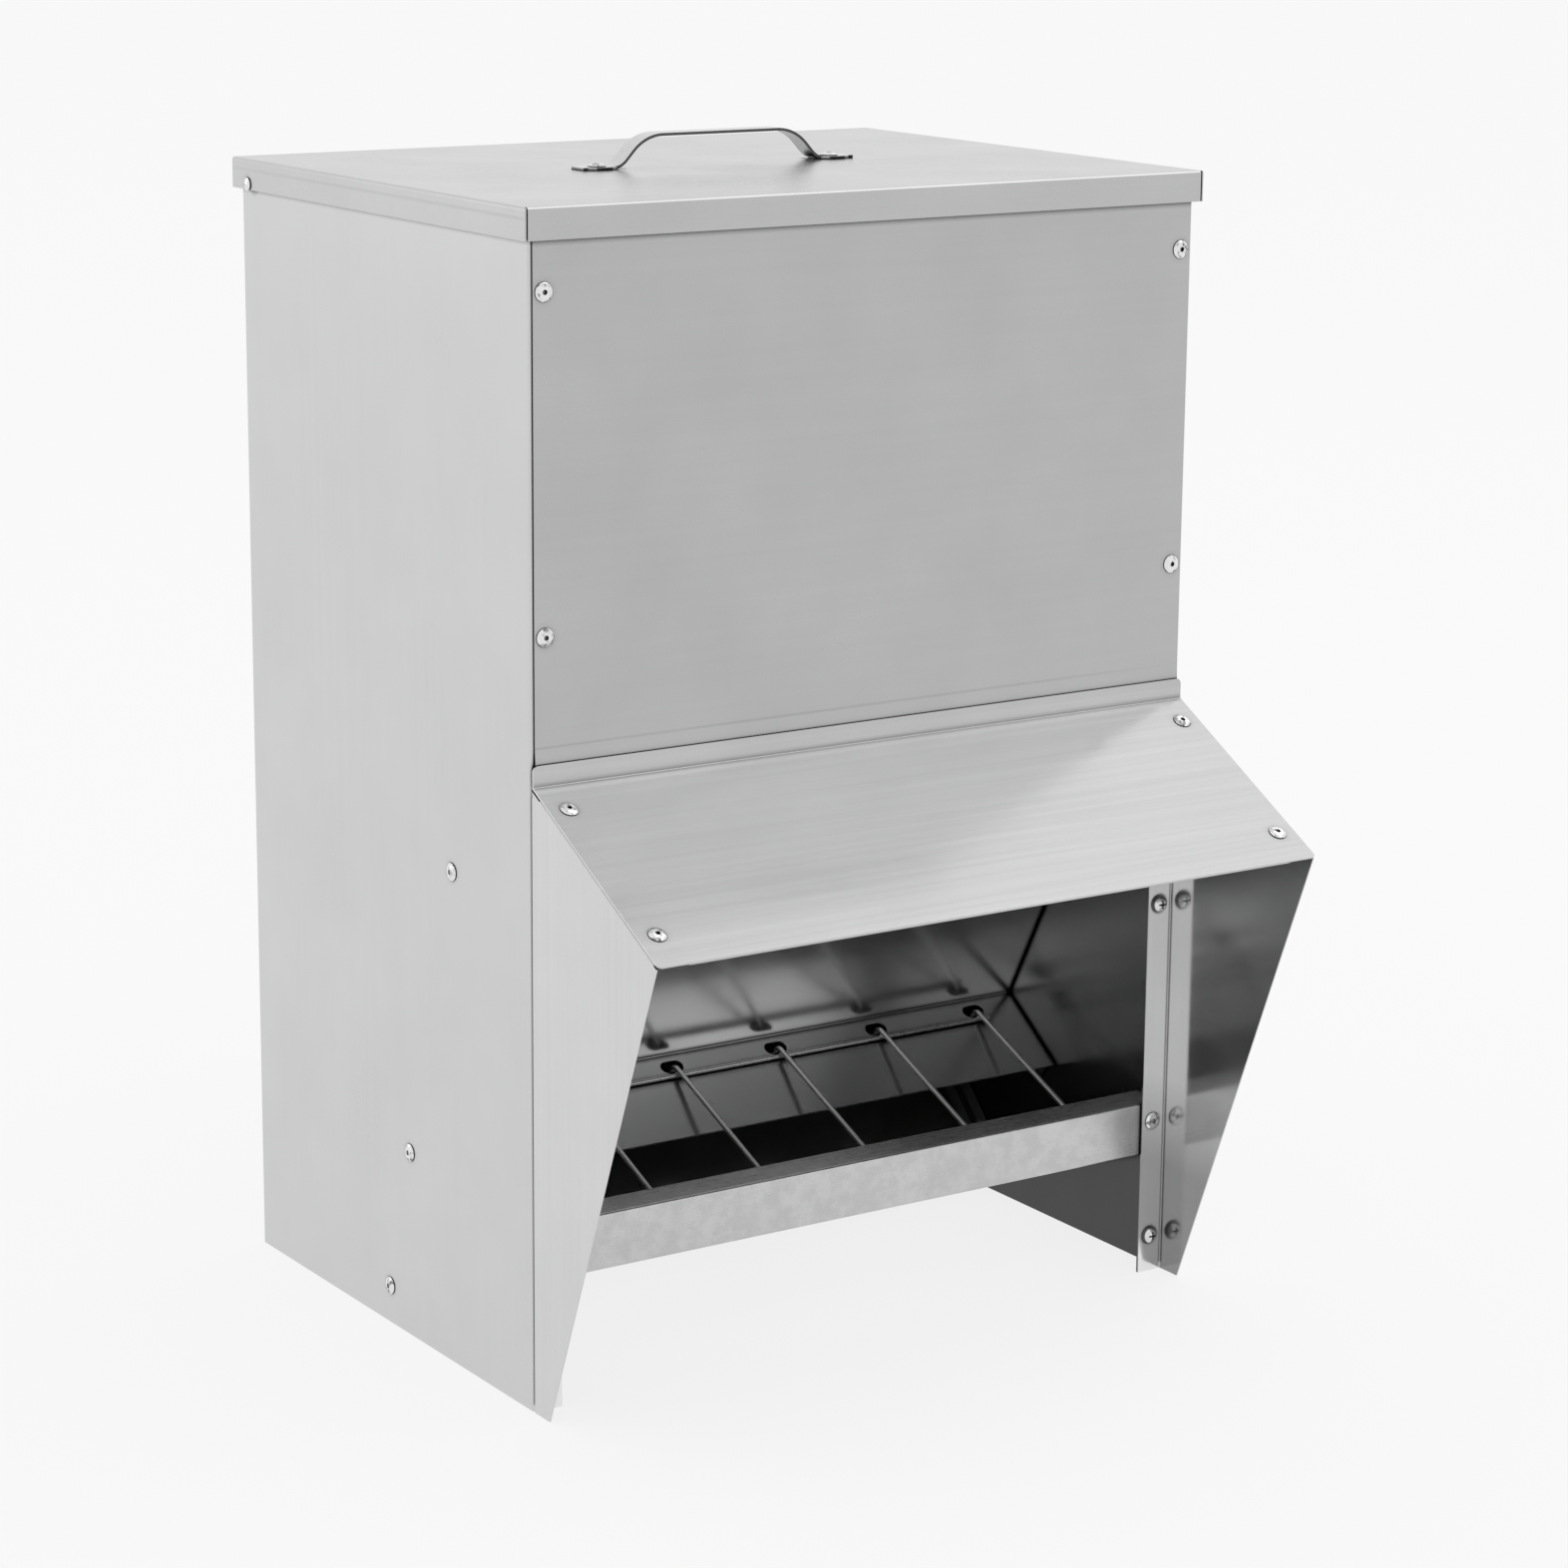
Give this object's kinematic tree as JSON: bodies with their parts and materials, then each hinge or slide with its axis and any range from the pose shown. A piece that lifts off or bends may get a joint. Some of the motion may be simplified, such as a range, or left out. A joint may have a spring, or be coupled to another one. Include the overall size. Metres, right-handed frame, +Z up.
{
  "type": "poultry feeder",
  "caption": "Galvanised sheet hopper feeder with hinged lid, rain hood on two wings, sloping baffle, trough and feed saving wire grid.",
  "frame": {"origin": "on the ground under the middle of the feeder's whole box, hood and lid included", "axes": "+Z up, -Y is the feeding side with the hood, +X to the right seen from the feeding side"},
  "size_m": [0.4106, 0.4212, 0.6206],
  "materials": {
    "galvanised_sheet": "galvanised, fine rolled grain, satin",
    "handle_strap": "zinc plated strap, satin",
    "rivet_aluminium": "bright, formed",
    "zinc_screw": "bright zinc plated",
    "wire_steel": "drawn galvanised wire, dull"
  },
  "bodies": {
    "body": {"left_side_panel": "galvanised_sheet", "right_side_panel": "galvanised_sheet", "front_panel": "galvanised_sheet", "back_panel": "galvanised_sheet", "hood": "galvanised_sheet", "left_wing": "galvanised_sheet", "right_wing": "galvanised_sheet", "feed_baffle": "galvanised_sheet", "trough_pan": "galvanised_sheet", "hopper_floor": "galvanised_sheet", "front_panel_rivets": "rivet_aluminium", "back_panel_rivets": "rivet_aluminium", "hopper_floor_rivets": "rivet_aluminium", "trough_seam_rivets": "rivet_aluminium", "hood_rivets": "rivet_aluminium", "left_side_rivets": "rivet_aluminium", "right_side_rivets": "rivet_aluminium", "left_lip_rivet": "rivet_aluminium", "right_lip_rivet": "rivet_aluminium", "left_lid_pivot": "rivet_aluminium", "right_lid_pivot": "rivet_aluminium", "left_wing_screws": "zinc_screw", "right_wing_screws": "zinc_screw", "left_screw_washers": "zinc_screw", "right_screw_washers": "zinc_screw", "left_wing_nuts": "zinc_screw", "right_wing_nuts": "zinc_screw"},
    "lid": {"lid": "galvanised_sheet", "lid_handle": "handle_strap", "handle_rivets": "rivet_aluminium"},
    "feed_grid": {"grid_bars": "wire_steel", "grid_cross_rod": "wire_steel"}
  },
  "joints": [
    {"name": "lid_hinge", "type": "hinge", "parent": "body", "child": "lid", "pos_m": [0, 0.193, 0.59], "axis": [-1, 0, 0], "range_deg": [0, 75]},
    {"name": "grid_tilt", "type": "hinge", "parent": "body", "child": "feed_grid", "pos_m": [0, -0.083, 0.0688], "axis": [1, 0, 0], "range_deg": [0, 25]}
  ]
}
